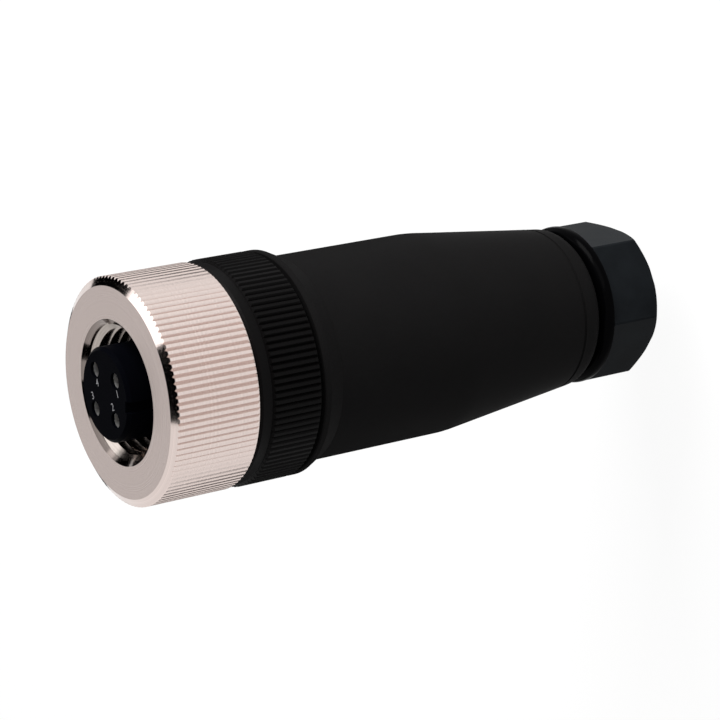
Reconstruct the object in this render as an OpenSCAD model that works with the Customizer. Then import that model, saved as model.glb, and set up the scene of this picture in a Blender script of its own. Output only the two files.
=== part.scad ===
// M12 circular connector: a straight cable socket that is wired in the field.
// It stands on the rear face of its gland's hexagon, with the mating face up.
// Z runs along the connector's axis and z = 0 is the hexagon's rear face.

/* [Pressing screw] */
// Direction of one of the hexagon's corners round the axis
hex_angle = 8; // [0:1:60]
// Width of the hexagon across its flats
hex_af = 13; // [12.5:0.25:14]
// Height of the hexagon
hex_h = 6.8; // [5.5:0.1:9]
// Radius that the hexagon's corners and its front collar are turned to
hex_turn_r = 7.45; // [7.2:0.05:7.5]
// Height of the round collar in front of the flats
hex_collar_h = 1; // [0.9:0.1:2]
// Rounding of that collar's front edge
hex_round_r = 0.85; // [0.3:0.05:0.9]
// Radius of the flat at the hexagon's rear end
hex_face_r = 6.55; // [5.5:0.05:6.9]
// Slope of the turned cone behind the hexagon's corners, in degrees from the face
hex_cone_angle = 40; // [20:1:55]
// Radius of the hole that the cable passes through
cable_r = 3.25; // [2.2:0.05:3.4]
// Chamfer at the mouth of the cable hole
cable_mouth = 0.6; // [0.2:0.1:1]
// Outer radius of the screw's threaded shank
shank_r = 5.85; // [5.4:0.05:6]
// Length of the shank that is screwed into the housing
shank_l = 5.4; // [4:0.1:8]
// Depth of the relief groove under the hexagon
relief_d = 0.35; // [0.1:0.05:0.5]
// Width of the relief groove under the hexagon
relief_w = 0.8; // [0.4:0.1:1.2]

/* [Gland] */
// Thickness of the thrust washer
washer_t = 0.6; // [0.4:0.1:1]
// Thickness of the ring that carries the cage's fingers
cage_base = 0.9; // [0.6:0.1:1.4]
// Length of the cage's fingers
finger_l = 3.2; // [2:0.1:4.5]
// Thickness of the cage's fingers
finger_t = 0.8; // [0.5:0.05:1.1]
// Number of fingers
finger_count = 8; // [4:1:10]
// Width of the slot between two fingers
finger_slot = 1; // [0.6:0.1:1.4]
// Length of the thick front part of the cable seal
seal_head = 3; // [2:0.1:4.5]
// Number of grooves in the cable seal's bore
seal_grooves = 3; // [2:1:4]
// Depth of those grooves
seal_groove = 0.35; // [0.15:0.05:0.5]

/* [Widest part] */
// Radius of the housing's front collar, over which the grip ring is flush
front_r = 10.05; // [9.9:0.05:10.4]
// How much smaller the coupling nut's radius is than the grip ring's
nut_step = 0.05; // [0:0.05:0.4]

/* [Housing] */
// Length of the housing
housing_l = 32.25; // [31.5:0.25:42]
// Radius of the cylindrical front part
body_r = 9.2; // [9:0.02:9.6]
// Radius of the tapered part where it would meet the rear face
tail_r = 7.34; // [7:0.02:7.8]
// Length of the tapered part
taper_l = 15.7; // [12:0.1:17]
// Rounding where the cylinder turns into the taper
knee_r = 14; // [4:1:20]
// Rounding of the rear rim
rim_r = 1.5; // [0.6:0.1:1.7]
// Distance of the fine parting groove from the rear face
rim_groove_z = 2.4; // [1.8:0.1:4]
// Width of the fine parting groove
rim_groove_w = 0.3; // [0.15:0.05:0.5]
// Height of the collar's straight edge
collar_edge = 0.55; // [0.3:0.05:1]
// Bevel of the collar's front edge
collar_bevel = 0.1; // [0.05:0.05:0.3]
// Length of the cone behind the collar
collar_cone = 1.7; // [1:0.1:3]
// Radius of the wiring chamber
chamber_r = 7.6; // [7.5:0.05:7.8]
// Length of the cone between the cable seal's step and the wiring chamber
funnel_l = 3.2; // [2:0.1:4]
// Radius of the passage through the seal's step
passage_r = 4.4; // [3.8:0.1:4.8]
// Thickness of the step that the cable seal rests on
step_t = 1; // [0.6:0.1:1.6]
// Free length of the mouth's thread below the threaded sleeve
thread_runout = 1; // [0.6:0.1:1.6]

/* [Grip ring] */
// Length of the grip ring
grip_l = 6; // [5.2:0.1:8]
// How much smaller the radius of the smooth band is than the knurl's tips
grip_band_step = 0.25; // [0.1:0.05:0.6]
// Length of the smooth band
grip_band_l = 1.1; // [0.6:0.1:1.6]
// Number of ridges round the grip ring
grip_knurls = 104; // [80:4:120]
// Depth of the grooves between those ridges
grip_knurl_d = 0.22; // [0.12:0.02:0.3]
// Share of the pitch that the flat top of a ridge takes
grip_land = 0.4; // [0.2:0.05:0.6]
// Bevel at the ends of the ridges
grip_edge = 0.2; // [0.1:0.05:0.3]

/* [Coupling nut] */
// Length of the coupling nut
nut_l = 8.35; // [8:0.05:11]
// Width of the polished chamfer round the front face, seen from the front
nut_chamfer_w = 0.76; // [0.5:0.02:1.2]
// Length of that chamfer along the axis
nut_chamfer = 0.46; // [0.3:0.02:0.8]
// Number of ridges round the nut
nut_knurls = 108; // [80:4:120]
// Depth of the grooves between those ridges
nut_knurl_d = 0.2; // [0.12:0.02:0.3]
// Share of the pitch that the flat top of a ridge takes
nut_land = 0.45; // [0.2:0.05:0.6]
// Bevel round the nut's rear edge
nut_edge = 0.2; // [0.1:0.05:0.3]
// Nominal radius of the coupling thread
thread_r = 6; // [5.95:0.01:6.1]
// Radius of the mouth in front of the thread
mouth_r = 6.39; // [6.2:0.01:6.6]
// Thickness of the inward lip at the nut's rear
lip_t = 0.8; // [0.6:0.05:1.2]

/* [Retaining ring] */
// Thickness of the ring that holds the nut on the carrier
ring_t = 0.8; // [0.5:0.05:1]
// How far the ring reaches into the nut, past the thread radius
ring_bite = 0.2; // [0.15:0.05:0.4]
// Depth of the ring's groove in the sleeve's neck
ring_groove_d = 0.4; // [0.3:0.05:0.6]
// Width of the ring's opening
ring_gap = 2.4; // [1:0.2:3]
// How far the nut may be pushed forward
nut_float = 0.9; // [0.4:0.1:1.2]

/* [Contact carrier] */
// Radius of the nose that enters the mating plug
nose_r = 4.15; // [4.05:0.01:4.2]
// How far the nose stands out in front of the nut
nose_proud = 1.1; // [0.2:0.1:1.6]
// Chamfer round the front of the nose
nose_chamfer = 0.3; // [0.1:0.05:0.4]
// Width of the key slot
key_w = 1; // [0.8:0.05:1.2]
// Depth of the key slot
key_d = 0.6; // [0.4:0.05:0.7]
// Length of the key slot
key_l = 4.2; // [3:0.1:4.4]
// Direction of the key slot round the axis
key_angle = -112; // [-180:1:180]
// Depth of the face seal's groove at the root of the nose
nose_groove_d = 0.2; // [0.1:0.05:0.3]
// Radius of the carrier's shaft inside the threaded sleeve
shaft_r = 4.3; // [4.2:0.05:4.4]
// Radius of the cross-shaped tower between the terminals
tower_r = 7.3; // [7:0.05:7.35]
// Length of the tower
tower_l = 6.5; // [6.4:0.1:7.5]
// Thickness of the tower's roof, between the terminal blocks and the sleeve
roof_t = 0.8; // [0.5:0.05:1]

/* [Threaded sleeve] */
// Radius of the sleeve's neck under the nut
neck_r = 5.3; // [5.2:0.05:5.4]
// Thickness of the flange in front of the retaining ring
flange_t = 0.7; // [0.5:0.05:0.9]
// Radius of the sleeve's hub inside the grip ring
hub_r = 7.2; // [6.6:0.1:7.8]
// Number of ribs that turn the grip ring with the hub
spline_count = 6; // [4:1:8]
// Width of those ribs
spline_w = 1.6; // [1:0.1:2.4]
// Height of those ribs
spline_h = 0.6; // [0.3:0.05:0.8]
// Radius of the rear flange that presses the housing seal
stop_r = 9.1; // [8.9:0.05:9.3]
// Thickness of that rear flange
stop_t = 0.9; // [0.6:0.1:1.4]
// Radius of the thread that is screwed into the housing
hub_thread_r = 8; // [7.9:0.02:8.1]
// Depth of the plain land behind the thread, where the housing seal sits
seal_land_d = 0.2; // [0.1:0.05:0.3]
// Chamfer at the start of that thread
hub_chamfer = 0.3; // [0.1:0.05:0.5]
// Length of that thread
hub_thread_l = 5.1; // [4:0.1:6]

/* [Contacts] */
// Radius of the circle that the contacts stand on
pitch_r = 2.5; // [2.45:0.01:2.55]
// Direction of the first contact round the axis
contact_angle = -67; // [-180:1:180]
// Radius of the holes in the nose's face
entry_r = 0.7; // [0.65:0.01:0.75]
// Thickness of the face wall in front of the contacts
face_wall = 1.2; // [0.8:0.1:1.6]
// Outer radius of a contact
contact_r = 0.92; // [0.85:0.01:0.98]
// Radius of the hole that takes the mating pin
pin_hole_r = 0.52; // [0.51:0.01:0.54]
// Depth of that hole
pin_hole_l = 7; // [5:0.1:9]
// Length of the slots that make the contact springy
tine_l = 5; // [3:0.1:6]
// Width of those slots
tine_slot = 0.22; // [0.15:0.01:0.3]
// Width of a terminal block
block_w = 2.6; // [2.3:0.05:2.7]
// Distance of a terminal block's inner face from the axis
block_in = 1.7; // [1.65:0.01:1.8]
// Depth of a terminal block, outwards from its inner face
block_d = 4; // [3.6:0.05:4.1]
// Length of a terminal block along the axis
block_l = 5.6; // [5:0.1:5.9]
// Radius of the wire hole in a terminal block
wire_r = 0.85; // [0.6:0.05:0.9]
// Distance of the wire hole from the terminal block's inner face
wire_in = 1.8; // [1.4:0.05:2]
// Depth of the wire hole
wire_l = 4.6; // [4:0.1:4.9]
// Radius of a terminal screw's thread
screw_r = 0.9; // [0.7:0.05:0.95]
// Radius of a terminal screw's head
head_r = 1.15; // [1.05:0.05:1.25]
// Height of a terminal screw's head
head_h = 0.9; // [0.6:0.05:1]
// Depth of the slot in a terminal screw's head
slot_d = 0.5; // [0.3:0.05:0.6]
// Width of the slot in a terminal screw's head
slot_w = 0.4; // [0.3:0.05:0.5]

/* [Seals] */
// Radius of the face seal's cross-section
face_seal_r = 0.6; // [0.45:0.05:0.65]
// Radius of the housing seal's cross-section
housing_seal_r = 0.6; // [0.45:0.05:0.65]

/* [Clearances] */
// Gap between the hexagon and the housing
seat_gap = 0.1; // [0.05:0.05:0.3]
// Visible seam between the grip ring and the housing
seam_gap = 0.3; // [0.15:0.05:0.6]
// Gap between the grip ring and the coupling nut
nut_gap = 0.1; // [0.05:0.05:0.3]
// Radial clearance of threads and of the nut on its neck
thread_gap = 0.1; // [0.05:0.01:0.15]
// Clearance round pieces that are pushed into each other
push_gap = 0.05; // [0.02:0.01:0.08]

/* [Hidden] */
$fn = 96;
contact_count = 4;
// Number of short lines that the housing's knee is drawn with
knee_steps = 6;
// How far a cutting solid runs past the face that it cuts
cut = 1;
// How deep a rib, a stem or a shank is rooted in the body that carries it
root = 0.5;

// The widest pieces, which are flush with each other
collar_r = front_r;
grip_r = front_r;
grip_band_r = grip_r - grip_band_step;
nut_r = front_r - nut_step;
nut_face_r = nut_r - nut_chamfer_w;

// Heights along the axis, from the rear face to the nose
housing_z = hex_h + seat_gap;
shank_top = housing_z + shank_l;
washer_z = shank_top + push_gap;
cage_z = washer_z + washer_t + push_gap;
seal_z = cage_z + cage_base + push_gap;
seal_step_z = seal_z + finger_l + push_gap;
step_z = seal_step_z + seal_head + push_gap;
funnel_z = step_z + step_t;
chamber_z = funnel_z + funnel_l;
housing_top = housing_z + housing_l;
grip_z = housing_top + seam_gap;
stop_z = grip_z + push_gap;
grip_top = grip_z + grip_l;
hub_top = grip_top - push_gap;
nut_z = grip_top + nut_gap;
nut_top = nut_z + nut_l;
nose_top = nut_top + nose_proud;

// The sleeve's thread and seal seat, and the tower behind them
seal_seat = 2 * housing_seal_r + push_gap;
hub_thread_z = stop_z - seal_seat - push_gap - hub_thread_l;
tower_top = hub_thread_z - push_gap;
tower_z = tower_top - tower_l;
pocket_top = tower_top - roof_t;
block_z = pocket_top - push_gap - block_l;
contact_top = nose_top - face_wall - push_gap;

// The seats of the retaining ring and the face seal
ring_z = nut_z + lip_t + push_gap;
ring_out = thread_r + ring_bite;
groove_z = ring_z - push_gap;
groove_top = ring_z + ring_t + nut_float + push_gap;
ring_in = neck_r - ring_groove_d;
flange_top = groove_top + flange_t;
face_seal_z = flange_top + face_seal_r + push_gap;
nose_z = flange_top + 2 * (face_seal_r + push_gap);
seal_neck_r = nose_r - nose_groove_d;
sleeve_bore_r = shaft_r + push_gap;

// Radii inside the gland
shank_bore_r = shank_r + thread_gap;
gland_r = shank_r - thread_gap;
bush_r = gland_r - 2 * push_gap;
finger_in = bush_r - finger_t;

// Radii inside the housing's mouth
hub_bore_r = hub_thread_r + thread_gap;
seal_pocket_r = stop_r + thread_gap;
land_r = hub_thread_r - seal_land_d;
wire_x = block_in + wire_in;

// A disc with straight ridges, with a flat land on each
module knurled_disc(count, tip_r, depth, land) {
    pitch = 360 / count;
    root_r = tip_r - depth;
    polygon([for (i = [0 : count - 1])
        for (p = [[-land / 2, tip_r], [land / 2, tip_r], [0.5, root_r]])
            let (a = (i + p[0]) * pitch)
            [p[1] * cos(a), p[1] * sin(a)]]);
}

// A flat ring from its two radii
module flat_ring(outer_r, inner_r, h) {
    difference() {
        cylinder(r = outer_r, h = h);
        translate([0, 0, -cut]) cylinder(r = inner_r, h = h + 2 * cut);
    }
}

// A ring of round cross-section
module o_ring(inner_r, section_r) {
    rotate_extrude() translate([inner_r + section_r, 0]) circle(r = section_r);
}

// The face through the axis that all turned profiles are drawn on
module half_plane(z0, z1, r) {
    translate([0, z0]) square([r, z1 - z0]);
}

module coupling_nut() {
    rear_r = nut_r - nut_knurl_d - nut_edge / 2;
    color([0.78, 0.74, 0.72]) difference() {
        intersection() {
            translate([0, 0, nut_z]) linear_extrude(nut_l)
                knurled_disc(nut_knurls, nut_r, nut_knurl_d, nut_land);
            rotate_extrude() polygon([[0, nut_z], [rear_r, nut_z], [nut_r, nut_z + nut_edge],
                [nut_r, nut_top - nut_chamfer], [nut_face_r, nut_top], [0, nut_top]]);
        }
        rotate_extrude() union() {
            half_plane(nut_z - cut, nut_top + cut, neck_r + 2 * thread_gap);
            half_plane(groove_z, groove_z + ring_t + 2 * push_gap, ring_out + thread_gap);
            polygon([[0, groove_z + push_gap], [thread_r, groove_z + push_gap],
                [thread_r, nut_top - (mouth_r - thread_r)], [mouth_r, nut_top],
                [mouth_r, nut_top + cut], [0, nut_top + cut]]);
        }
    }
}

module nut_retaining_ring() {
    color("silver") translate([0, 0, ring_z]) difference() {
        flat_ring(ring_out, ring_in + push_gap, ring_t);
        translate([0, -ring_gap / 2, -cut]) cube([ring_out + cut, ring_gap, ring_t + 2 * cut]);
    }
}

module face_seal() {
    color([0.12, 0.12, 0.13]) translate([0, 0, face_seal_z])
        o_ring(seal_neck_r + push_gap, face_seal_r);
}

// The turned outline of the carrier, from the tower up to the nose
module carrier_profile() {
    polygon([[0, tower_z], [tower_r, tower_z], [tower_r, tower_top], [shaft_r, tower_top],
        [shaft_r, flange_top], [seal_neck_r, flange_top], [seal_neck_r, nose_z], [nose_r, nose_z],
        [nose_r, nose_top - nose_chamfer], [nose_r - nose_chamfer, nose_top], [0, nose_top]]);
}

// The space for one contact: its bore, its entry hole and the pocket for its terminal block
module contact_space() {
    translate([pitch_r, 0, tower_z]) cylinder(r = entry_r, h = nose_top - tower_z + cut);
    translate([pitch_r, 0, tower_z - cut])
        cylinder(r = contact_r + push_gap, h = nose_top - face_wall - tower_z + cut);
    translate([block_in - push_gap, -block_w / 2 - push_gap, tower_z - cut])
        cube([tower_r + cut - block_in, block_w + 2 * push_gap, pocket_top - tower_z + cut]);
}

module contact_carrier() {
    color([0.1, 0.1, 0.11]) difference() {
        rotate_extrude() carrier_profile();
        rotate(key_angle) translate([nose_r - key_d, -key_w / 2, nose_top - key_l])
            cube([key_d + cut, key_w, key_l + cut]);
        for (i = [0 : contact_count - 1]) rotate(contact_angle + i * 90) contact_space();
    }
}

// The turned outline of the threaded sleeve, without its bore
module sleeve_profile() {
    polygon([[0, hub_thread_z], [hub_thread_r - hub_chamfer, hub_thread_z],
        [hub_thread_r, hub_thread_z + hub_chamfer],
        [hub_thread_r, stop_z - seal_seat - push_gap], [land_r, stop_z - seal_seat],
        [land_r, stop_z], [stop_r, stop_z], [stop_r, stop_z + stop_t],
        [hub_r, stop_z + stop_t], [hub_r, hub_top], [neck_r, hub_top],
        [neck_r, groove_z], [ring_in, groove_z], [ring_in, groove_top],
        [neck_r, groove_top], [neck_r, flange_top], [0, flange_top]]);
}

// The ribs that turn the grip ring, with an extra width for the slots that take them
module spline_ribs(z0, z1, extra) {
    for (i = [0 : spline_count - 1]) rotate(i * 360 / spline_count)
        translate([hub_r - root, -spline_w / 2 - extra, z0])
            cube([root + spline_h + extra, spline_w + 2 * extra, z1 - z0]);
}

module threaded_sleeve() {
    color([0.1, 0.1, 0.11]) difference() {
        union() {
            rotate_extrude() sleeve_profile();
            spline_ribs(stop_z + stop_t / 2, hub_top - push_gap, 0);
        }
        translate([0, 0, hub_thread_z - cut])
            cylinder(r = sleeve_bore_r, h = flange_top - hub_thread_z + 2 * cut);
    }
}

module grip_ring() {
    knurl_top = grip_top - grip_band_l;
    rear_r = grip_r - grip_knurl_d - grip_edge / 2;
    color([0.09, 0.09, 0.1]) difference() {
        union() {
            intersection() {
                translate([0, 0, grip_z]) linear_extrude(grip_l - grip_band_l)
                    knurled_disc(grip_knurls, grip_r, grip_knurl_d, grip_land);
                rotate_extrude() polygon([[0, grip_z], [rear_r, grip_z],
                    [grip_r, grip_z + grip_edge], [grip_r, knurl_top - grip_edge],
                    [rear_r, knurl_top], [0, knurl_top]]);
            }
            rotate_extrude() polygon([[0, knurl_top - root], [rear_r - root, knurl_top - root],
                [rear_r - root, knurl_top], [grip_band_r, knurl_top],
                [grip_band_r, grip_top - grip_edge], [grip_band_r - grip_edge, grip_top],
                [0, grip_top]]);
        }
        translate([0, 0, grip_z - cut]) cylinder(r = hub_r + push_gap, h = grip_l + 2 * cut);
        translate([0, 0, grip_z - cut])
            cylinder(r = stop_r + push_gap, h = cut + stop_t + 2 * push_gap);
        spline_ribs(grip_z - cut, grip_top + cut, push_gap);
    }
}

// One socket with its slotted spring end and its terminal block, on the X axis
module socket_contact() {
    difference() {
        union() {
            translate([pitch_r, 0, block_z + block_l - root])
                cylinder(r = contact_r, h = contact_top - block_z - block_l + root);
            translate([block_in, -block_w / 2, block_z]) cube([block_d, block_w, block_l]);
        }
        translate([pitch_r, 0, contact_top - pin_hole_l])
            cylinder(r = pin_hole_r, h = pin_hole_l + cut);
        translate([pitch_r, 0, contact_top + (cut - tine_l) / 2]) {
            cube([3 * contact_r, tine_slot, tine_l + cut], center = true);
            cube([tine_slot, 3 * contact_r, tine_l + cut], center = true);
        }
        translate([wire_x, 0, block_z - cut]) cylinder(r = wire_r, h = wire_l + cut);
        translate([wire_x, 0, block_z + wire_l / 2]) rotate([0, 90, 0])
            cylinder(r = screw_r + push_gap, h = block_d);
    }
}

module contact(i) {
    color([0.85, 0.68, 0.32]) rotate(contact_angle - (i - 1) * 90) socket_contact();
}

// One slotted screw, lying along the X axis with its head outwards
module terminal_screw() {
    head_x = block_in + block_d + push_gap;
    translate([0, 0, block_z + wire_l / 2]) difference() {
        union() {
            translate([wire_x, 0, 0]) rotate([0, 90, 0])
                cylinder(r = screw_r, h = head_x - wire_x + head_h / 2);
            translate([head_x, 0, 0]) rotate([0, 90, 0]) cylinder(r = head_r, h = head_h);
        }
        translate([head_x + head_h - slot_d, -head_r - cut, -slot_w / 2])
            cube([head_h, 2 * (head_r + cut), slot_w]);
    }
}

module terminal_screws() {
    color("silver") for (i = [0 : contact_count - 1])
        rotate(contact_angle + i * 90) terminal_screw();
}

module housing_seal() {
    color([0.12, 0.12, 0.13]) translate([0, 0, stop_z - housing_seal_r - push_gap])
        o_ring(land_r + push_gap, housing_seal_r);
}

// The solid outline of the housing, before it is hollowed
module housing_outline() {
    slope = atan((body_r - tail_r) / taper_l);
    rim_z = housing_z + rim_r;
    rim_x = tail_r + rim_r * tan(slope) - rim_r / cos(slope);
    knee_z = housing_z + taper_l;
    half = knee_r * tan(slope / 2);
    knee = [for (i = [0 : knee_steps]) let (a = slope * (1 - i / knee_steps))
        [body_r - knee_r + knee_r * cos(a), knee_z + half - knee_r * sin(a)]];
    polygon(concat([[0, housing_z], [rim_x, housing_z], [rim_x, rim_z],
        [rim_x + rim_r * cos(slope), rim_z - rim_r * sin(slope)]], knee,
        [[body_r, housing_top - collar_edge - collar_cone], [collar_r, housing_top - collar_edge],
        [collar_r, housing_top - collar_bevel], [collar_r - collar_bevel, housing_top],
        [0, housing_top]]));
    translate([rim_x, rim_z]) circle(r = rim_r);
}

module housing_cavity() {
    pocket_z = stop_z - 2 * (housing_seal_r + push_gap);
    shoulder_z = hub_thread_z - thread_runout;
    half_plane(housing_z - cut, washer_z, shank_bore_r);
    half_plane(housing_z - cut, step_z, gland_r);
    half_plane(housing_z - cut, housing_top + cut, passage_r);
    polygon([[0, funnel_z], [passage_r, funnel_z], [chamber_r, chamber_z],
        [chamber_r, shoulder_z], [hub_bore_r, shoulder_z + hub_bore_r - chamber_r],
        [hub_bore_r, pocket_z], [seal_pocket_r, pocket_z], [seal_pocket_r, housing_top + cut],
        [0, housing_top + cut]]);
}

module housing() {
    groove_z = housing_z + rim_groove_z;
    groove_x = tail_r + rim_groove_z * (body_r - tail_r) / taper_l;
    color([0.1, 0.1, 0.11]) rotate_extrude() difference() {
        housing_outline();
        housing_cavity();
        translate([groove_x, groove_z]) circle(r = rim_groove_w / 2);
    }
}

module cable_seal() {
    rib_pitch = (finger_l + seal_head) / seal_grooves;
    color([0.16, 0.16, 0.17]) difference() {
        union() {
            translate([0, 0, seal_z]) cylinder(r = finger_in - push_gap, h = finger_l + root);
            translate([0, 0, seal_step_z]) cylinder(r = gland_r - push_gap, h = seal_head);
        }
        translate([0, 0, seal_z - cut])
            cylinder(r = cable_r - push_gap, h = finger_l + seal_head + 2 * cut);
        for (i = [0 : seal_grooves - 1])
            translate([0, 0, seal_z + (i + 0.25) * rib_pitch])
                cylinder(r = cable_r - push_gap + seal_groove, h = rib_pitch / 2);
    }
}

module clamp_cage() {
    color([0.14, 0.14, 0.15]) translate([0, 0, cage_z]) difference() {
        union() {
            flat_ring(bush_r, cable_r, cage_base);
            flat_ring(bush_r, finger_in, cage_base + finger_l);
        }
        for (i = [0 : finger_count - 1]) rotate(i * 360 / finger_count)
            translate([finger_in - finger_t / 2, -finger_slot / 2, cage_base])
                cube([finger_t / 2 + finger_t + cut, finger_slot, finger_l + cut]);
    }
}

module thrust_washer() {
    color("silver") translate([0, 0, washer_z]) flat_ring(bush_r, cable_r, washer_t);
}

// The hexagon's turned blank, with a cone at its rear and a rounded edge in front
module hex_blank() {
    cone_h = (hex_turn_r - hex_face_r) * tan(hex_cone_angle);
    edge_r = hex_turn_r - hex_round_r;
    edge_z = hex_h - hex_round_r;
    polygon([[0, 0], [hex_face_r, 0], [hex_turn_r, cone_h], [hex_turn_r, edge_z],
        [edge_r, edge_z], [edge_r, hex_h], [0, hex_h]]);
    translate([edge_r, edge_z]) circle(r = hex_round_r);
}

// What is cut off the blank to leave its six flats
module hex_flats() {
    flat_l = hex_h - hex_collar_h;
    difference() {
        translate([0, 0, -cut]) cylinder(r = hex_turn_r + cut, h = flat_l + cut);
        rotate(hex_angle) translate([0, 0, -2 * cut])
            cylinder(r = hex_af / 2 / cos(30), h = flat_l + 3 * cut, $fn = 6);
    }
}

module pressing_screw() {
    shank_z = hex_h - root;
    color([0.12, 0.12, 0.13]) difference() {
        union() {
            rotate_extrude() hex_blank();
            rotate_extrude() polygon([[0, shank_z], [shank_r - relief_d, shank_z],
                [shank_r - relief_d, hex_h + relief_w], [shank_r, hex_h + relief_w + relief_d],
                [shank_r, shank_top - relief_d], [shank_r - relief_d, shank_top], [0, shank_top]]);
        }
        hex_flats();
        translate([0, 0, -cut]) cylinder(r = cable_r, h = shank_top + 2 * cut);
        rotate_extrude() polygon([[0, -cut], [cable_r + cable_mouth + cut, -cut],
            [cable_r, cable_mouth], [0, cable_mouth]]);
    }
}

coupling_nut();
nut_retaining_ring();
face_seal();
contact_carrier();
threaded_sleeve();
grip_ring();
for (i = [1 : contact_count]) contact(i);
terminal_screws();
housing_seal();
housing();
cable_seal();
clamp_cage();
thrust_washer();
pressing_screw();
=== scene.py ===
"""Dressed model of an M12 cable socket: finishes, threads, marks, studio and camera."""
from math import cos, pi, radians, sin

import bpy
from mathutils import Matrix, Vector


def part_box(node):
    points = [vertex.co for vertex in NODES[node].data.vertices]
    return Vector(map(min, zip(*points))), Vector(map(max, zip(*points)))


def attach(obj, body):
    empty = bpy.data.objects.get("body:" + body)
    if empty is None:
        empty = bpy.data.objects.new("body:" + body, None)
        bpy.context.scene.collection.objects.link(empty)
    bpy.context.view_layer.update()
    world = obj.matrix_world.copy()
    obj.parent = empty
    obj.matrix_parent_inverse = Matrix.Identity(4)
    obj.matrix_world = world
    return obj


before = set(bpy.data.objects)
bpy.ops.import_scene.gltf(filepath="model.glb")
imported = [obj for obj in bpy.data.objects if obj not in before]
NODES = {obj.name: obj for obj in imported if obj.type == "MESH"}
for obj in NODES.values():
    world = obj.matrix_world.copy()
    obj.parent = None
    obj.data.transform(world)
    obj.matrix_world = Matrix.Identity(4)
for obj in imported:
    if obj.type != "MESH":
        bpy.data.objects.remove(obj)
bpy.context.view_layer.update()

# ---------------------------------------------------------------- sizes, in metres

MM = 0.001
NUT_LOW, NUT_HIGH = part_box("coupling_nut")
NUT_FACE_Z = NUT_HIGH.z
NOSE_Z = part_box("contact_carrier")[1].z
MIDDLE_Z = NOSE_Z / 2

# Every thread: share of the pitch that a ridge's root takes, and the crest's share of the root
ROOT_SHARE = 7 / 8
CREST_SHARE = 2 / 7
TURN_STEPS = 72
SAME_PLACE = 1e-7

# Coupling thread M12 x 1: its root lies a little inside the nut's wall
THREAD_R = 6.0 * MM
THREAD_SUNK = 0.03 * MM
CREST_R = 5.46 * MM
THREAD_PITCH = 1.0 * MM
THREAD_DEPTH = 5.2 * MM
THREAD_TURNS = 5

# The nut's mouth, its flat face and the chamfer round it
MOUTH_R = 6.39 * MM
MOUTH_CUT_H = 1.6 * MM
MOUTH_CUT_LIFT = 0.2 * MM
MOUTH_CUT_SIDES = 96
FACE_R = 9.24 * MM
CHAMFER_H = 0.46 * MM

# Threads of the sleeve and the pressing screw in mm: radius, pitch, low and high end
SLEEVE_THREAD = (8.0, 1.0, 33.1, 38.2)
GLAND_THREAD = (5.75, 1.27, 6.9, 12.2)
# Their raised turns: height of the first one in mm, and how many
SLEEVE_TURNS = (33.6, 4)
GLAND_TURNS = (6.985, 3)
TURN_RISE = 0.08 * MM
TURN_SUNK = 0.05 * MM
# Polished collar in front of the hexagon's flats, whose colour is held at its darkest as painted
# shade, in mm
GLAND_COLLAR = (5.75, 6.85)

# Contacts, seen from the mating side
CONTACT_COUNT = 4
CONTACT_CIRCLE_R = 2.5 * MM
FIRST_CONTACT = radians(-67)
ENTRY_R = 0.68 * MM
ENTRY_WALL = 0.05 * MM
ENTRY_L = 0.7 * MM
ENTRY_SUNK = 0.26 * MM
ENTRY_SIDES = 48
DIGIT_H = 0.95 * MM
DIGIT_RISE = 0.004 * MM
DIGIT_SHIFT = 1.15 * MM
DIGIT_CURVE_STEPS = 3

SMOOTH_ANGLE = radians(30)

# Finishes: sizes in mm, and how far roughness runs either way of its middle value
GRAIN_DEPTH = 0.006
PATCH_SIZE = 6.0
PATCH_ROUGH = 0.08
POLISHED_ROUGH = 0.16
DULL_ROUGH = 0.2
RELIEF_SHARE = 0.5
THREAD_REACH = 0.15
LINE_PITCH = 0.06
LINE_DEPTH = 0.0015
LINE_ROUGH = 0.06
NUT_LINE_PITCH = 0.07
NUT_LINE_DEPTH = 0.0012

# The floor leaves room for the pressing screw when it is unscrewed
FLOOR_Z = -6 * MM
FLOOR_SIDE = 6
FLOOR_GREY = 0.86
FLOOR_GLOW = 1.07
FLOOR_GLOW_SHARE = 0.82
WORLD_LIGHT = 0.45

# Lamps: direction from the connector's axis, distance, side, power
LAMPS = {
    "key": ((0.85, -0.25, 0.45), 0.5, 0.3, 3.0),
    "front": ((0.5, -0.8, 0.4), 0.6, 0.4, 1.0),
}
# Cards: direction, distance, width, height, shade, and whether the card lies on the floor
CARDS = {
    "face_card": ((0, 0.85, 0.53), 0.25, 0.22, 0.16, 0.62, False),
    "top_card": ((0.52, 0.73, 0.37), 0.20, 0.12, 0.12, 0.0, False),
    "overhead_card": ((0, -0.25, 1), 0.25, 0.18, 0.20, 0.0, False),
    "bright_card": ((0.56, 0.29, 0.78), 0.25, 0.07, 0.20, 2.2, False),
    "mouth_card": ((-0.78, 0.05, 0.62), 0.22, 0.08, 0.10, 0.0, False),
    "rear_floor_card": ((0, 1, 0), 0.12, 0.20, 0.18, 0.02, True),
}
CARD_LIFT = 1 * MM

# Camera: its place, the directions that are backwards and right for it, and its lens in mm
CAMERA_PLACE = (-1.69 * MM, -203.3 * MM, 155.9 * MM)
CAMERA_BACK = (-0.0015, -0.8490, 0.5284)
CAMERA_RIGHT = (-0.1980, -0.5177, -0.8324)
CAMERA_LENS = 133.4
CAMERA_SENSOR = 36
CAMERA_NEAR = 0.01


# ---------------------------------------------------------------- building helpers

def deselect():
    """Leaves nothing selected, so that the next operator acts on the new piece alone."""
    bpy.ops.object.select_all(action="DESELECT")


def take(piece):
    """Makes one piece the selected and active one."""
    deselect()
    piece.select_set(True)
    bpy.context.view_layer.objects.active = piece


def settle(piece):
    """Moves a piece's place into its mesh, so that its object sits at the origin."""
    take(piece)
    bpy.ops.object.transform_apply(location=True, rotation=True, scale=True)


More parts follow.
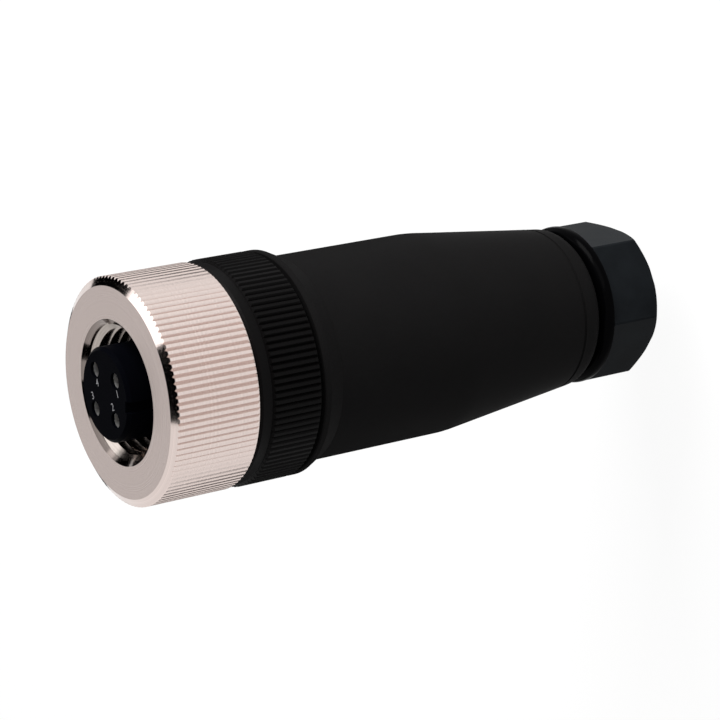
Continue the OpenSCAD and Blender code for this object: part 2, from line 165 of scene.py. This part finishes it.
def finish_piece(piece, name, body, material):
    """Names a piece, gives it its finish and lets it ride on its body."""
    settle(piece)
    piece.name = piece.data.name = name
    piece.data.materials.clear()
    piece.data.materials.append(material)
    bpy.ops.object.shade_smooth_by_angle(angle=SMOOTH_ANGLE)
    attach(piece, body)


def apply_modifier(piece, kind, **values):
    """Adds one modifier with its values and applies it."""
    take(piece)
    modifier = piece.modifiers.new(kind.lower(), kind)
    for key, value in values.items():
        setattr(modifier, key, value)
    bpy.ops.object.modifier_apply(modifier=modifier.name)


def pick_vertices(piece, test):
    """In edit mode, selects the vertices that pass a test on their place."""
    bpy.ops.mesh.select_all(action="DESELECT")
    bpy.ops.object.mode_set(mode="OBJECT")
    for vertex in piece.data.vertices:
        vertex.select = bool(test(piece.matrix_world @ vertex.co))
    bpy.ops.object.mode_set(mode="EDIT")


# ---------------------------------------------------------------- material helpers

def add_node(tree, kind, **values):
    """Adds a node; values are its attributes or, by name, its inputs."""
    node = tree.nodes.new(kind)
    for key, value in values.items():
        if hasattr(node, key):
            setattr(node, key, value)
        else:
            node.inputs[key.replace("_", " ").title()].default_value = value
    return node


def math_node(tree, operation, first, second=0.0, third=0.0, clamp=False):
    """One Math node; each operand is a number or another node's socket."""
    node = add_node(tree, "ShaderNodeMath", operation=operation, use_clamp=clamp)
    for socket, operand in zip(node.inputs, (first, second, third)):
        if isinstance(operand, (int, float)):
            socket.default_value = operand
        else:
            tree.links.new(operand, socket)
    return node.outputs[0]


def new_group(name, inputs, outputs):
    """A shader node group with named float inputs (name: default) and outputs."""
    tree = bpy.data.node_groups.new(name, "ShaderNodeTree")
    for socket_name, default in inputs.items():
        socket = tree.interface.new_socket(socket_name, in_out="INPUT",
                                           socket_type="NodeSocketFloat")
        socket.default_value = default
    for socket_name in outputs:
        tree.interface.new_socket(socket_name, in_out="OUTPUT", socket_type="NodeSocketFloat")
    given = add_node(tree, "NodeGroupInput").outputs
    return tree, given, add_node(tree, "NodeGroupOutput").inputs


def place_group(tree, group, **values):
    """Places a group in a material with its own values, and gives its outputs."""
    node = add_node(tree, "ShaderNodeGroup", node_tree=group)
    for key, value in values.items():
        node.inputs[key.replace("_", " ").capitalize()].default_value = value
    return node.outputs


def own_place(tree):
    """Where a surface point is on its piece, in metres."""
    return add_node(tree, "ShaderNodeTexCoord").outputs["Object"]


def round_axis(tree):
    """A surface point's x, y, distance from the axis and height, in metres."""
    parts = add_node(tree, "ShaderNodeSeparateXYZ")
    tree.links.new(own_place(tree), parts.inputs[0])
    x, y, z = parts.outputs
    square = math_node(tree, "MULTIPLY_ADD", y, y, math_node(tree, "MULTIPLY", x, x))
    return x, y, math_node(tree, "SQRT", square), z


def fine_noise(tree, vector, size, detail, roughness):
    """A noise from a vector; its size in mm comes from a socket."""
    noise = add_node(tree, "ShaderNodeTexNoise", Detail=detail, Roughness=roughness)
    tree.links.new(vector, noise.inputs["Vector"])
    tree.links.new(math_node(tree, "DIVIDE", 1.0 / MM, size), noise.inputs["Scale"])
    return noise.outputs["Fac"]


def height_masks(tree, height, low, high):
    """Masks of what lies between two heights and of what lies above both."""
    above_low = math_node(tree, "GREATER_THAN", height, low)
    above_high = math_node(tree, "GREATER_THAN", height, high)
    return math_node(tree, "SUBTRACT", above_low, above_high), above_high


def moulded_grain():
    """Fine matt grain of moulded plastic, with slow uneven patches of sheen."""
    tree, given, result = new_group("moulded_grain", {"Grain size": 0.15, "Patch size": 6.0},
                                    ("Height", "Patches"))
    place = own_place(tree)
    grain = fine_noise(tree, place, given["Grain size"], detail=2.0, roughness=0.55)
    tree.links.new(grain, result["Height"])
    patches = fine_noise(tree, place, given["Patch size"], detail=3.0, roughness=0.55)
    tree.links.new(patches, result["Patches"])
    return tree


def turned_lines():
    """Fine ring lines of a turned face, and of a turned rim."""
    tree, given, result = new_group("turned_lines", {"Line pitch": 0.06}, ("Height",))
    _, _, distance, z = round_axis(tree)
    along = add_node(tree, "ShaderNodeCombineXYZ")
    tree.links.new(distance, along.inputs[0])
    tree.links.new(z, along.inputs[1])
    lines = fine_noise(tree, along.outputs[0], given["Line pitch"], detail=3.0, roughness=0.7)
    tree.links.new(lines, result["Height"])
    return tree


def nut_zones():
    """Masks over the coupling nut: its knurl's grooves, which take painted shade, its polished
    chamfers, and its bore, which is polished and takes painted shade.
    """
    tree, given, result = new_group(
        "nut_zones", {"Rim radius": 9.97, "Rim low": 0.0, "Rim high": 1.0, "Fade": 0.08,
                      "Face radius": 9.24, "Mouth radius": 6.39},
        ("Grooves", "Polished", "Bore"))
    _, _, distance, z = round_axis(tree)
    radius = math_node(tree, "DIVIDE", distance, MM)
    height = math_node(tree, "DIVIDE", z, MM)
    depth = math_node(tree, "SUBTRACT", given["Rim radius"], radius)
    groove = math_node(tree, "DIVIDE", depth, given["Fade"], clamp=True)
    on_rim, above_rim = height_masks(tree, height, given["Rim low"], given["Rim high"])
    outside = math_node(tree, "GREATER_THAN", radius, given["Face radius"])
    in_knurl = math_node(tree, "MULTIPLY", math_node(tree, "MULTIPLY", on_rim, outside), groove)
    tree.links.new(in_knurl, result["Grooves"])
    chamfer = math_node(tree, "MULTIPLY", above_rim, outside)
    bore = math_node(tree, "LESS_THAN", radius, given["Mouth radius"])
    tree.links.new(bore, result["Bore"])
    tree.links.new(math_node(tree, "MAXIMUM", chamfer, bore), result["Polished"])
    return tree


def screw_thread():
    """Height of a right-handed thread on the part of a shaft that carries it."""
    tree, given, result = new_group(
        "screw_thread", {"Thread radius": 5.0, "Pitch": 1.0, "Low end": 0.0, "High end": 1.0},
        ("Height",))
    x, y, distance, z = round_axis(tree)
    radius = math_node(tree, "DIVIDE", distance, MM)
    height = math_node(tree, "DIVIDE", z, MM)
    angle = math_node(tree, "ARCTAN2", y, x)
    turns = math_node(tree, "DIVIDE", height, given["Pitch"])
    phase = math_node(tree, "MULTIPLY_ADD", angle, -0.5 / pi, turns)
    ridge = math_node(tree, "PINGPONG", phase, 0.5)
    between, _ = height_masks(tree, height, given["Low end"], given["High end"])
    near = math_node(tree, "COMPARE", radius, given["Thread radius"], THREAD_REACH)
    mask = math_node(tree, "MULTIPLY", between, near)
    tree.links.new(math_node(tree, "MULTIPLY", ridge, mask), result["Height"])
    return tree


def height_zone():
    """Mask between two heights."""
    tree, given, result = new_group("height_zone", {"Low end": 0.0, "High end": 1.0}, ("Mask",))
    height = math_node(tree, "DIVIDE", round_axis(tree)[3], MM)
    between, _ = height_masks(tree, height, given["Low end"], given["High end"])
    tree.links.new(between, result["Mask"])
    return tree


GRAIN = moulded_grain()
LINES = turned_lines()
NUT_ZONES = nut_zones()
THREAD = screw_thread()
ZONE = height_zone()


def new_material(name, **constants):
    """A Principled material; constants go on the shader's own sockets."""
    material = bpy.data.materials.new(name)
    material.use_nodes = True
    shader = material.node_tree.nodes["Principled BSDF"]
    for key, value in constants.items():
        shader.inputs[key.replace("_", " ")].default_value = value
    return material, material.node_tree, shader


def shade_between(tree, shader, factor, dark, light):
    """Base colour that runs from dark to light with a factor."""
    mix = add_node(tree, "ShaderNodeMix", data_type="RGBA")
    mix.inputs["A"].default_value = (*dark, 1)
    mix.inputs["B"].default_value = (*light, 1)
    tree.links.new(factor, mix.inputs["Factor"])
    tree.links.new(mix.outputs["Result"], shader.inputs["Base Color"])


def rough_between(tree, shader, factor, low, high):
    """Roughness that runs from low to high with a factor."""
    tree.links.new(math_node(tree, "MULTIPLY_ADD", factor, high - low, low),
                   shader.inputs["Roughness"])


def bump(tree, shader, height, depth):
    """Bump from a height, with its depth in mm."""
    node = add_node(tree, "ShaderNodeBump", Distance=depth * MM, Strength=1.0)
    tree.links.new(height, node.inputs["Height"])
    tree.links.new(node.outputs["Normal"], shader.inputs["Normal"])


def moulded(name, dark, light, rough, sheen, grain_size=0.15, thread=None, polished_and_shaded=None):
    """Moulded plastic: fine grain, uneven sheen and colour.

    A thread (radius, pitch, low, high) shows as relief; a polished part between two heights
    (low, high) also takes the darkest colour, a painted shade.
    """
    material, tree, shader = new_material(name, Specular_IOR_Level=sheen)
    grain = place_group(tree, GRAIN, Grain_size=grain_size, Patch_size=PATCH_SIZE)
    patches, height = grain["Patches"], grain["Height"]
    low_rough, high_rough = rough - PATCH_ROUGH, rough + PATCH_ROUGH
    # The polished part's colour is held at the dark end: painted shade.
    if polished_and_shaded:
        zone = place_group(tree, ZONE, Low_end=polished_and_shaded[0], High_end=polished_and_shaded[1])["Mask"]
        patches = math_node(tree, "MULTIPLY_ADD", zone, -1.0, patches, clamp=True)
        height = math_node(tree, "MULTIPLY_ADD", zone, -1.0, height, clamp=True)
        low_rough, high_rough = POLISHED_ROUGH, rough + DULL_ROUGH
    shade_between(tree, shader, patches, dark, light)
    rough_between(tree, shader, patches, low_rough, high_rough)
    if thread:
        radius, pitch, low, high = thread
        turns = place_group(tree, THREAD, Thread_radius=radius, Pitch=pitch, Low_end=low,
                            High_end=high)["Height"]
        height = math_node(tree, "MULTIPLY_ADD", turns, RELIEF_SHARE * pitch / GRAIN_DEPTH,
                           height)
    bump(tree, shader, height, GRAIN_DEPTH)
    return material


def plated(name, dark, light, rough):
    """Plated metal with fine turned lines."""
    material, tree, shader = new_material(name, Metallic=1.0)
    lines = place_group(tree, LINES, Line_pitch=LINE_PITCH)["Height"]
    shade_between(tree, shader, lines, dark, light)
    rough_between(tree, shader, lines, rough - LINE_ROUGH, rough + LINE_ROUGH)
    bump(tree, shader, lines, LINE_DEPTH)
    return material


def nut_nickel():
    """The nut's plating: satin face and knurl, polished chamfers, polished bore; painted shade
    darkens the knurl's grooves and the bore.
    """
    # The groove and bore tones are painted shade: they darken the base colour in the knurl's
    # grooves and in the bore.
    face_tone, line_tone, groove_shade, bore_shade = 0.56, 0.45, -0.03, -0.64
    face_rough, line_rough, polished_rough = 0.20, 0.12, -0.16
    material, tree, shader = new_material("nickel_plate", Metallic=1.0)
    lines = place_group(tree, LINES, Line_pitch=NUT_LINE_PITCH)["Height"]
    zones = place_group(tree, NUT_ZONES, Rim_low=NUT_LOW.z / MM,
                        Rim_high=NUT_FACE_Z / MM - CHAMFER_H / MM,
                        Face_radius=FACE_R / MM, Mouth_radius=MOUTH_R / MM)
    bright = math_node(tree, "MULTIPLY_ADD", lines, line_tone, face_tone)
    knurl_shaded = math_node(tree, "MULTIPLY_ADD", zones["Grooves"], groove_shade, bright)
    factor = math_node(tree, "MULTIPLY_ADD", zones["Bore"], bore_shade, knurl_shaded, clamp=True)
    shade_between(tree, shader, factor, (0.12, 0.10, 0.09), (0.87, 0.74, 0.695))
    satin = math_node(tree, "MULTIPLY_ADD", lines, line_rough, face_rough)
    polish = math_node(tree, "MULTIPLY", zones["Polished"], polished_rough)
    tree.links.new(math_node(tree, "ADD", satin, polish), shader.inputs["Roughness"])
    bump(tree, shader, lines, NUT_LINE_DEPTH)
    return material


# ---------------------------------------------------------------- finishes

NICKEL = nut_nickel()
# The thread's plating is darker than the nut's face: painted shade inside the bore.
BORE_SHADED_NICKEL = plated("shaded_thread_plate", (0.22, 0.19, 0.17), (0.58, 0.52, 0.48), rough=0.16)
TIN = plated("satin_tin", (0.38, 0.375, 0.37), (0.50, 0.495, 0.49), rough=0.5)
STEEL = plated("bright_steel", (0.45, 0.45, 0.46), (0.62, 0.62, 0.63), rough=0.3)
GOLD = plated("gold_plate", (0.72, 0.47, 0.16), (0.86, 0.62, 0.26), rough=0.25)
HOUSING_PLASTIC = moulded("housing_plastic", (0.0056, 0.0054, 0.0055),
                          (0.0076, 0.0073, 0.0074), rough=0.62, sheen=0.010)
GRIP_PLASTIC = moulded("grip_plastic", (0.0012, 0.0010, 0.0011), (0.0020, 0.0017, 0.0018),
                       rough=0.45, sheen=0.055, grain_size=0.1)
CARRIER_PLASTIC = moulded("carrier_plastic", (0.0008, 0.0009, 0.0016), (0.0014, 0.0016, 0.0028),
                          rough=0.30, sheen=0.003, grain_size=0.1)
SLEEVE_PLASTIC = moulded("sleeve_plastic", (0.0016, 0.0016, 0.0019), (0.0030, 0.0030, 0.0034),
                         rough=0.35, sheen=0.06, grain_size=0.1, thread=SLEEVE_THREAD)
RIDGE_PLASTIC = moulded("ridge_plastic", (0.0050, 0.0052, 0.0056), (0.0080, 0.0083, 0.0088),
                        rough=0.35, sheen=0.15, grain_size=0.1)
# The collar in front of the hexagon's flats carries painted shade.
GLAND_PLASTIC = moulded("gland_plastic", (0.0008, 0.0008, 0.0010), (0.0135, 0.0158, 0.0182),
                        rough=0.36, sheen=0.012, grain_size=0.12, thread=GLAND_THREAD,
                        polished_and_shaded=GLAND_COLLAR)
MARK = moulded("light_mark", (0.20, 0.20, 0.21), (0.28, 0.28, 0.29), rough=0.4, sheen=0.2)
CAGE_PLASTIC = moulded("cage_plastic", (0.03, 0.03, 0.031), (0.05, 0.05, 0.052), rough=0.5,
                       sheen=0.2)
RUBBER = moulded("seal_rubber", (0.0022, 0.0022, 0.0024), (0.0036, 0.0036, 0.0039),
                 rough=0.75, sheen=0.04)

FINISHES = {
    "coupling_nut": NICKEL, "nut_retaining_ring": STEEL, "face_seal": RUBBER,
    "contact_carrier": CARRIER_PLASTIC, "threaded_sleeve": SLEEVE_PLASTIC,
    "grip_ring": GRIP_PLASTIC,
    "contact_1": GOLD, "contact_2": GOLD, "contact_3": GOLD, "contact_4": GOLD,
    "terminal_screws": STEEL, "housing_seal": RUBBER, "housing": HOUSING_PLASTIC,
    "cable_seal": RUBBER, "clamp_cage": CAGE_PLASTIC, "thrust_washer": STEEL,
    "pressing_screw": GLAND_PLASTIC,
}
for node_name, finish in FINISHES.items():
    for material_slot in NODES[node_name].material_slots:
        material_slot.material = finish


# ---------------------------------------------------------------- threads

def thread_ridge(root_r, crest_r, pitch, low_z, turns):
    """A ridge of thread profile wound round the axis; the crest may lie inside or outside."""
    deselect()
    reach = abs(crest_r - root_r)
    bpy.ops.mesh.primitive_plane_add(size=1, location=((root_r + crest_r) / 2, 0, low_z),
                                     rotation=(pi / 2, 0, 0))
    ridge = bpy.context.object
    ridge.scale = (reach, pitch * ROOT_SHARE, 1)
    settle(ridge)
    bpy.ops.object.mode_set(mode="EDIT")
    pick_vertices(ridge, lambda place: abs(place.x - crest_r) < reach / 4)
    bpy.ops.transform.resize(value=(1, 1, CREST_SHARE), center_override=(crest_r, 0, low_z))
    bpy.ops.mesh.select_all(action="SELECT")
    bpy.ops.mesh.delete(type="ONLY_FACE")
    bpy.ops.object.mode_set(mode="OBJECT")
    apply_modifier(ridge, "SCREW", axis="Z", steps=TURN_STEPS, render_steps=TURN_STEPS,
                   iterations=turns, screw_offset=pitch, use_merge_vertices=True,
                   merge_threshold=SAME_PLACE)
    bpy.ops.object.mode_set(mode="EDIT")
    bpy.ops.mesh.select_all(action="DESELECT")
    bpy.ops.mesh.select_non_manifold()
    bpy.ops.mesh.fill()
    bpy.ops.mesh.select_all(action="SELECT")
    bpy.ops.mesh.normals_make_consistent(inside=False)
    bpy.ops.object.mode_set(mode="OBJECT")
    return ridge


def coupling_thread():
    """The nut's inner thread, cut away by a cone at the mouth's chamfer."""
    ridge = thread_ridge(THREAD_R + THREAD_SUNK, CREST_R, THREAD_PITCH,
                         NUT_FACE_Z - THREAD_DEPTH, THREAD_TURNS)
    deselect()
    cut_r = MOUTH_R + MOUTH_CUT_LIFT
    bpy.ops.mesh.primitive_cone_add(
        vertices=MOUTH_CUT_SIDES, radius1=cut_r - MOUTH_CUT_H, radius2=cut_r,
        depth=MOUTH_CUT_H, location=(0, 0, NUT_FACE_Z + MOUTH_CUT_LIFT - MOUTH_CUT_H / 2))
    cutter = bpy.context.object
    apply_modifier(ridge, "BOOLEAN", operation="DIFFERENCE", object=cutter, solver="EXACT")
    bpy.data.objects.remove(cutter)
    finish_piece(ridge, "coupling_thread", "coupling_nut", BORE_SHADED_NICKEL)


def outer_thread(name, thread, raised, body, material):
    """The raised turns of a moulded thread, inside its clearance."""
    radius, pitch = thread[0] * MM, thread[1] * MM
    first_z, turns = raised
    ridge = thread_ridge(radius - TURN_SUNK, radius + TURN_RISE, pitch, first_z * MM, turns)
    finish_piece(ridge, name, body, material)


coupling_thread()
outer_thread("sleeve_thread", SLEEVE_THREAD, SLEEVE_TURNS, "carrier",
             RIDGE_PLASTIC)
outer_thread("gland_thread", GLAND_THREAD, GLAND_TURNS, "pressing_screw",
             RIDGE_PLASTIC)


# ---------------------------------------------------------------- contact entries and numbers

def contact_place(index):
    """Where one contact hole is, on the face of the nose."""
    angle = FIRST_CONTACT - index * pi / 2
    return Vector((cos(angle), sin(angle), 0)) * CONTACT_CIRCLE_R


def contact_entry(index):
    """The thin plated mouth of a socket contact, sunk into its hole."""
    deselect()
    place = contact_place(index)
    bpy.ops.mesh.primitive_cylinder_add(
        vertices=ENTRY_SIDES, radius=ENTRY_R, depth=ENTRY_L, end_fill_type="NOTHING",
        location=(place.x, place.y, NOSE_Z - ENTRY_SUNK - ENTRY_L / 2))
    entry = bpy.context.object
    apply_modifier(entry, "SOLIDIFY", thickness=ENTRY_WALL, offset=-1)
    finish_piece(entry, f"contact_entry_{index + 1}", "carrier", TIN)


def contact_number(index):
    """A small light digit beside its contact hole, on the face of the nose."""
    deselect()
    place = contact_place(index)
    shift = -DIGIT_SHIFT if place.x > 0 else DIGIT_SHIFT
    bpy.ops.object.text_add(location=(place.x + shift, place.y, NOSE_Z),
                            rotation=(0, 0, -pi / 2))
    digit = bpy.context.object
    digit.data.body = str(index + 1)
    digit.data.size = DIGIT_H
    digit.data.align_x = "CENTER"
    digit.data.align_y = "CENTER"
    digit.data.extrude = DIGIT_RISE
    digit.data.resolution_u = DIGIT_CURVE_STEPS
    bpy.ops.object.convert(target="MESH")
    finish_piece(bpy.context.object, f"contact_number_{index + 1}", "carrier",
                 MARK)


for contact_index in range(CONTACT_COUNT):
    contact_entry(contact_index)
    contact_number(contact_index)


# ---------------------------------------------------------------- studio

def grey(shade):
    """A grey with its alpha."""
    return (shade, shade, shade, 1)


def seen_white(tree, plain, white, share, surface):
    """Shows a plain shader, and by a share a white one to the camera, metal and glass."""
    path = add_node(tree, "ShaderNodeLightPath").outputs
    seen = math_node(tree, "MAXIMUM", path["Is Camera Ray"],
                     math_node(tree, "MAXIMUM", path["Is Glossy Ray"],
                               path["Is Transmission Ray"]))
    mix = add_node(tree, "ShaderNodeMixShader")
    tree.links.new(math_node(tree, "MULTIPLY", seen, share), mix.inputs["Fac"])
    tree.links.new(plain.outputs[0], mix.inputs[1])
    tree.links.new(white.outputs[0], mix.inputs[2])
    tree.links.new(mix.outputs[0], surface)


def studio_floor():
    """A wide pale floor that shows white and keeps a soft shadow."""
    deselect()
    bpy.ops.mesh.primitive_plane_add(size=FLOOR_SIDE, location=(0, 0, FLOOR_Z))
    floor = bpy.context.object
    floor.name = "studio_floor"
    material, tree, shader = new_material("pale_floor", Base_Color=grey(FLOOR_GREY),
                                          Roughness=1.0, Specular_IOR_Level=0.0)
    glow = add_node(tree, "ShaderNodeEmission", Strength=FLOOR_GLOW)
    seen_white(tree, shader, glow, FLOOR_GLOW_SHARE,
               tree.nodes["Material Output"].inputs["Surface"])
    floor.data.materials.append(material)


def studio_world():
    """Plain grey light all round, seen as white."""
    world = bpy.data.worlds.new("studio")
    bpy.context.scene.world = world
    world.use_nodes = True
    tree = world.node_tree
    light = tree.nodes["Background"]
    light.inputs["Color"].default_value = grey(1)
    light.inputs["Strength"].default_value = WORLD_LIGHT
    white = add_node(tree, "ShaderNodeBackground", Color=grey(1), Strength=1.0)
    seen_white(tree, light, white, 1.0, tree.nodes["World Output"].inputs["Surface"])


def face_middle(thing, direction, distance, height=MIDDLE_Z):
    """Places a lamp or card in a direction from the connector's axis, turned to face it."""
    way = Vector(direction).normalized()
    thing.location = way * distance + Vector((0, 0, height))
    thing.rotation_mode = "QUATERNION"
    thing.rotation_quaternion = way.to_track_quat("Z", "Y")


def soft_lamp(name, direction, distance, side, power):
    """A square area lamp that looks at the middle of the connector."""
    data = bpy.data.lights.new(name, "AREA")
    data.size = side
    data.energy = power
    lamp = bpy.data.objects.new(name, data)
    bpy.context.scene.collection.objects.link(lamp)
    face_middle(lamp, direction, distance)


def studio_card(name, direction, distance, width, height, shade, on_floor):
    """A plain card that only polished surfaces mirror; it faces the nut or lies on the floor."""
    deselect()
    bpy.ops.mesh.primitive_plane_add(size=1)
    card = bpy.context.object
    card.name = name
    card.scale = (width, height, 1)
    face_middle(card, direction, distance, 0.0 if on_floor else NUT_FACE_Z)
    if on_floor:
        card.location.z = FLOOR_Z + CARD_LIFT
        card.rotation_quaternion = (1, 0, 0, 0)
    material, tree, _ = new_material(name)
    glow = add_node(tree, "ShaderNodeEmission", Color=grey(shade), Strength=1.0)
    tree.links.new(glow.outputs[0], tree.nodes["Material Output"].inputs["Surface"])
    card.data.materials.append(material)
    card.visible_camera = False
    card.visible_diffuse = False
    card.visible_transmission = False
    card.visible_shadow = False


def studio_camera():
    """The camera looks down on the standing connector, rolled so that its axis lies flat."""
    data = bpy.data.cameras.new("view")
    data.lens = CAMERA_LENS
    data.sensor_width = CAMERA_SENSOR
    data.clip_start = CAMERA_NEAR
    camera = bpy.data.objects.new("view", data)
    bpy.context.scene.collection.objects.link(camera)
    back = Vector(CAMERA_BACK).normalized()
    up = back.cross(Vector(CAMERA_RIGHT)).normalized()
    right = up.cross(back)
    turn = Matrix((right, up, back)).transposed().to_4x4()
    camera.matrix_world = Matrix.Translation(CAMERA_PLACE) @ turn
    bpy.context.scene.camera = camera


studio_floor()
studio_world()
for lamp_name, lamp_values in LAMPS.items():
    soft_lamp(lamp_name, *lamp_values)
for card_name, card_values in CARDS.items():
    studio_card(card_name, *card_values)
studio_camera()
bpy.context.scene.view_settings.view_transform = "Standard"
